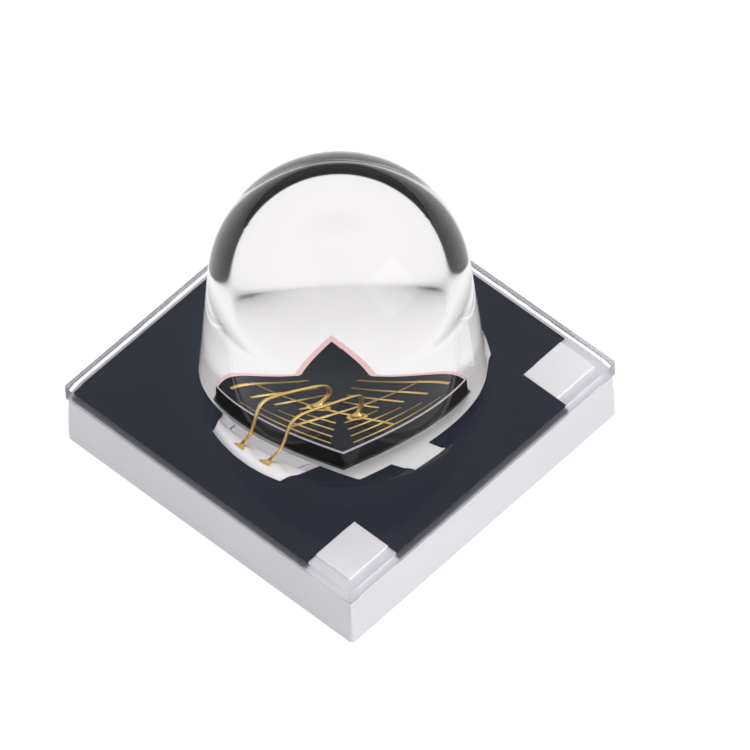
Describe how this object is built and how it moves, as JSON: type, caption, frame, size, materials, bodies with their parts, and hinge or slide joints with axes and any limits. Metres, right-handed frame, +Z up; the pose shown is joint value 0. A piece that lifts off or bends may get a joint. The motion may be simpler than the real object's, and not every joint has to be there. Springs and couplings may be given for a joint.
{
  "type": "high-power infrared led",
  "caption": "Surface-mount high-power infrared emitter: ceramic plate with dark coating, bonded chip with gold wires and a tall clear silicone dome.",
  "frame": {"origin": "centre of the mounting plane, at the underside of the solder lands", "axes": "+Z up through the dome, -Y towards the bond pad and the gold wires, +X towards the two bare corner pads"},
  "size_m": [0.0034, 0.0034, 0.0032],
  "materials": {
    "ceramic": "smooth fired white ceramic, matt",
    "silver_plating": "bright silver plating, slightly matt",
    "land_plating": "gold-flashed solderable plating, satin",
    "via_copper": "plated copper, satin",
    "dark_coating": "dark navy coating, matt",
    "attach_silver": "silver bonding layer, grainy",
    "gold": "bright gold",
    "substrate": "sawn dark semiconductor, satin",
    "mesa": "polished dark semiconductor",
    "edge_film": "thin pale pink protective film",
    "silicone": "clear silicone, smooth"
  },
  "bodies": {
    "root": {"ceramic_plate": "ceramic", "thermal_land": "land_plating", "front_land": "land_plating", "back_land": "land_plating", "front_via_left": "via_copper", "front_via_right": "via_copper", "back_via_left": "via_copper", "back_via_right": "via_copper", "die_pad": "silver_plating", "bond_pad": "silver_plating", "front_corner_pad": "silver_plating", "right_corner_pad": "silver_plating", "dark_coating": "dark_coating", "die_attach": "attach_silver", "chip_back_contact": "gold", "chip_substrate": "substrate", "chip_edge_film": "edge_film", "chip_mesa": "mesa", "chip_electrode": "gold", "bond_wire_left": "gold", "bond_wire_right": "gold", "silicone_lens": "silicone"}
  },
  "joints": []
}
